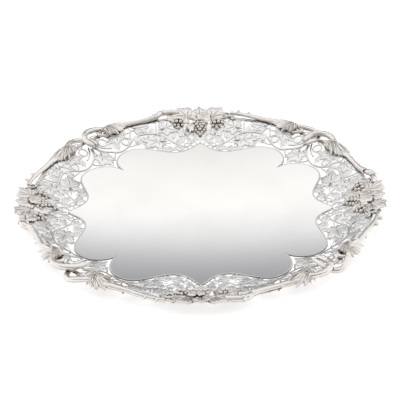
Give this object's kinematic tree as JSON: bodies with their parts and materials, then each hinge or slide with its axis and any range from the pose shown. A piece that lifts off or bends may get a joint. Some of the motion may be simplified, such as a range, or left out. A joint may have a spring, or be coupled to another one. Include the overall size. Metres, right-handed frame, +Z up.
{
  "type": "salver",
  "caption": "Round silver salver with a polished well, a pierced vine border and a cast rim of knotted branches, vine leaves and grapes.",
  "frame": {"origin": "centre of the well's underside, on the surface that the salver rests on", "axes": "+Z up out of the well, +Y through the middle of one grape cluster, +X through the next one"},
  "size_m": [0.3966, 0.3966, 0.0195],
  "materials": {
    "sheet_silver": "hand-polished silver sheet with faint wipe marks",
    "pierced_silver": "polished pierced silver, chased leaves, grey tarnish in the cut lines",
    "cast_silver": "burnished cast silver, warm dark tarnish in the recesses"
  },
  "bodies": {
    "root": {"well_plate": "sheet_silver", "border_panel_ne": "pierced_silver", "border_panel_se": "pierced_silver", "border_panel_sw": "pierced_silver", "border_panel_nw": "pierced_silver", "well_bead_ne": "sheet_silver", "well_bead_se": "sheet_silver", "well_bead_sw": "sheet_silver", "well_bead_nw": "sheet_silver", "branch_under_north": "cast_silver", "branch_under_east": "cast_silver", "branch_under_south": "cast_silver", "branch_under_west": "cast_silver", "branch_over_north": "cast_silver", "branch_over_east": "cast_silver", "branch_over_south": "cast_silver", "branch_over_west": "cast_silver", "twig_north": "cast_silver", "twig_east": "cast_silver", "twig_south": "cast_silver", "twig_west": "cast_silver", "tendril_north": "cast_silver", "tendril_east": "cast_silver", "tendril_south": "cast_silver", "tendril_west": "cast_silver", "leaf_left_north": "cast_silver", "leaf_left_east": "cast_silver", "leaf_left_south": "cast_silver", "leaf_left_west": "cast_silver", "leaf_right_north": "cast_silver", "leaf_right_east": "cast_silver", "leaf_right_south": "cast_silver", "leaf_right_west": "cast_silver", "leaf_top_north": "cast_silver", "leaf_top_east": "cast_silver", "leaf_top_south": "cast_silver", "leaf_top_west": "cast_silver", "bunch_main_north": "cast_silver", "bunch_main_east": "cast_silver", "bunch_main_south": "cast_silver", "bunch_main_west": "cast_silver", "bunch_left_north": "cast_silver", "bunch_left_east": "cast_silver", "bunch_left_south": "cast_silver", "bunch_left_west": "cast_silver", "bunch_right_north": "cast_silver", "bunch_right_east": "cast_silver", "bunch_right_south": "cast_silver", "bunch_right_west": "cast_silver"}
  },
  "joints": []
}
